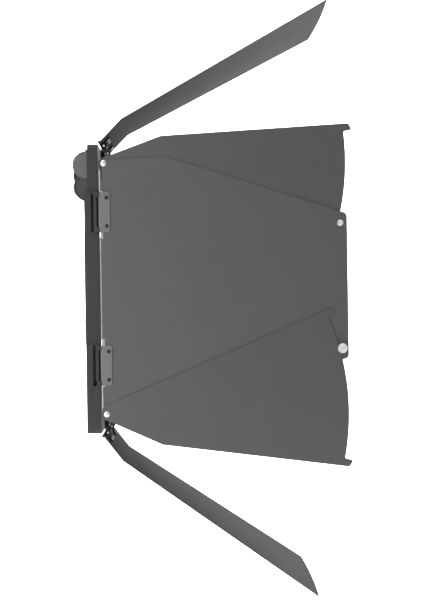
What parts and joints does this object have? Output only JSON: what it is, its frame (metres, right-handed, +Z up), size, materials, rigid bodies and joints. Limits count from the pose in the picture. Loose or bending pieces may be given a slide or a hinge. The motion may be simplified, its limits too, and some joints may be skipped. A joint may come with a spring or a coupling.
{
  "type": "led panel light",
  "caption": "Slim square LED panel light head latched into a barn door frame with four hinged leaves; the side leaves carry pivoting wings.",
  "frame": {"origin": "mouth of the stand thread, in the middle of the lamp's back", "axes": "+X along the beam, +Z up, Y across the lamp"},
  "size_m": [0.2885, 0.322, 0.6236],
  "materials": {
    "frame_coat": "fine matt powder coat, dark grey",
    "leaf_coat": "satin powder coat, grey",
    "plate_coat": "satin powder coat, lighter grey",
    "head_coat": "black anodised tray",
    "black_steel": "blackened steel",
    "bright_steel": "nickel plated",
    "bare_aluminium": "mill finish",
    "circuit_board": "white solder mask",
    "warm_phosphor": "silicone over amber phosphor",
    "cool_phosphor": "silicone over yellow phosphor",
    "white_plastic": "white reflective plastic",
    "opal_plastic": "opal acrylic, satin",
    "black_plastic": "moulded, fine texture",
    "soft_black_plastic": "moulded, satin",
    "rocker_plastic": "moulded, semi gloss",
    "brass": "turned",
    "display_glass": "smoked window"
  },
  "bodies": {
    "lamp": {"barndoor_frame": "frame_coat", "side_hinge_brackets": "frame_coat", "end_hinge_brackets": "black_steel", "bracket_screws": "black_steel", "side_hinge_pins": "bright_steel", "end_hinge_pins": "bright_steel", "head_housing": "head_coat", "heat_spreader": "bare_aluminium", "led_board": "circuit_board", "warm_leds": "warm_phosphor", "cool_leds": "cool_phosphor", "led_board_screws": "bright_steel", "mixing_frame": "white_plastic", "diffuser": "opal_plastic", "control_box_cover": "black_plastic", "cover_screws": "black_steel", "driver_board": "circuit_board", "driver_components": "black_plastic", "board_connector": "black_plastic", "dc_inlet": "black_plastic", "display_window": "display_glass", "display_module": "black_plastic", "switch_body": "black_plastic", "dial_encoders": "black_plastic", "stand_block": "bare_aluminium", "stand_block_screws": "bright_steel", "stand_thread_insert": "brass", "near_latch_base": "black_plastic", "far_latch_base": "black_plastic", "latch_guide_pins": "bright_steel"},
    "power_rocker": {"power_rocker": "rocker_plastic"},
    "brightness_dial": {"brightness_dial": "soft_black_plastic"},
    "colour_dial": {"colour_dial": "soft_black_plastic"},
    "top_leaf": {"top_leaf": "leaf_coat", "top_hinge_plates": "black_steel", "top_hinge_plate_screws": "bright_steel"},
    "bottom_leaf": {"bottom_leaf": "leaf_coat", "bottom_hinge_plates": "black_steel", "bottom_hinge_plate_screws": "bright_steel"},
    "near_latch_bolt": {"near_latch_bolt": "soft_black_plastic"},
    "near_leaf": {"near_leaf": "leaf_coat", "near_hinge_plates": "plate_coat", "near_hinge_plate_screws": "black_steel", "near_pivot_rivets": "bright_steel", "near_clinch_nuts": "bright_steel"},
    "near_top_wing": {"near_top_wing": "leaf_coat"},
    "near_top_thumbscrew": {"near_top_thumbscrew": "bright_steel"},
    "near_bottom_wing": {"near_bottom_wing": "leaf_coat"},
    "near_bottom_thumbscrew": {"near_bottom_thumbscrew": "bright_steel"},
    "far_latch_bolt": {"far_latch_bolt": "soft_black_plastic"},
    "far_leaf": {"far_leaf": "leaf_coat", "far_hinge_plates": "plate_coat", "far_hinge_plate_screws": "black_steel", "far_pivot_rivets": "bright_steel", "far_clinch_nuts": "bright_steel"},
    "far_top_wing": {"far_top_wing": "leaf_coat"},
    "far_top_thumbscrew": {"far_top_thumbscrew": "bright_steel"},
    "far_bottom_wing": {"far_bottom_wing": "leaf_coat"},
    "far_bottom_thumbscrew": {"far_bottom_thumbscrew": "bright_steel"}
  },
  "joints": [
    {"name": "near_leaf_hinge", "type": "hinge", "parent": "lamp", "child": "near_leaf", "pos_m": [0.0236, -0.1521, 0], "axis": [0, 0, 1], "range_deg": [-60, 80]},
    {"name": "far_leaf_hinge", "type": "hinge", "parent": "lamp", "child": "far_leaf", "pos_m": [0.0236, 0.1521, 0], "axis": [0, 0, 1], "range_deg": [-80, 60]},
    {"name": "top_leaf_hinge", "type": "hinge", "parent": "lamp", "child": "top_leaf", "pos_m": [0.0248, 0, 0.1546], "axis": [0, 1, 0], "range_deg": [-45, 90]},
    {"name": "bottom_leaf_hinge", "type": "hinge", "parent": "lamp", "child": "bottom_leaf", "pos_m": [0.0248, 0, -0.1546], "axis": [0, 1, 0], "range_deg": [-98, 40]},
    {"name": "near_top_wing_pivot", "type": "hinge", "parent": "near_leaf", "child": "near_top_wing", "pos_m": [0.0276, -0.15225, 0.12935], "axis": [0, 1, 0], "range_deg": [-12, 17]},
    {"name": "near_top_thumbscrew_turn", "type": "hinge", "parent": "near_leaf", "child": "near_top_thumbscrew", "pos_m": [0.2713, -0.15225, 0.0647], "axis": [0, 1, 0], "range_deg": [0, 270]},
    {"name": "near_bottom_wing_pivot", "type": "hinge", "parent": "near_leaf", "child": "near_bottom_wing", "pos_m": [0.0276, -0.15455, -0.12935], "axis": [0, -1, 0], "range_deg": [-7.5, 25.1]},
    {"name": "near_bottom_thumbscrew_turn", "type": "hinge", "parent": "near_leaf", "child": "near_bottom_thumbscrew", "pos_m": [0.2713, -0.15455, -0.0647], "axis": [0, -1, 0], "range_deg": [0, 270]},
    {"name": "far_top_wing_pivot", "type": "hinge", "parent": "far_leaf", "child": "far_top_wing", "pos_m": [0.0276, 0.15225, 0.12935], "axis": [0, -1, 0], "range_deg": [-17, 12]},
    {"name": "far_top_thumbscrew_turn", "type": "hinge", "parent": "far_leaf", "child": "far_top_thumbscrew", "pos_m": [0.2713, 0.15225, 0.0647], "axis": [0, -1, 0], "range_deg": [0, 270]},
    {"name": "far_bottom_wing_pivot", "type": "hinge", "parent": "far_leaf", "child": "far_bottom_wing", "pos_m": [0.0276, 0.15455, -0.12935], "axis": [0, 1, 0], "range_deg": [-25.1, 7.5]},
    {"name": "far_bottom_thumbscrew_turn", "type": "hinge", "parent": "far_leaf", "child": "far_bottom_thumbscrew", "pos_m": [0.2713, 0.15455, -0.0647], "axis": [0, 1, 0], "range_deg": [0, 270]},
    {"name": "near_latch_slide", "type": "slide", "parent": "lamp", "child": "near_latch_bolt", "axis": [0, -1, 0], "range_m": [0, 0.0045]},
    {"name": "far_latch_slide", "type": "slide", "parent": "lamp", "child": "far_latch_bolt", "axis": [0, 1, 0], "range_m": [0, 0.0045]},
    {"name": "brightness_turn", "type": "hinge", "parent": "lamp", "child": "brightness_dial", "pos_m": [0, -0.028, -0.036], "axis": [-1, 0, 0], "range_deg": [-150, 150]},
    {"name": "colour_turn", "type": "hinge", "parent": "lamp", "child": "colour_dial", "pos_m": [0, 0.028, -0.036], "axis": [-1, 0, 0], "range_deg": [-150, 150]},
    {"name": "power_rock", "type": "hinge", "parent": "lamp", "child": "power_rocker", "pos_m": [0.0034, 0, -0.038], "axis": [0, 1, 0], "range_deg": [0, 14]}
  ]
}
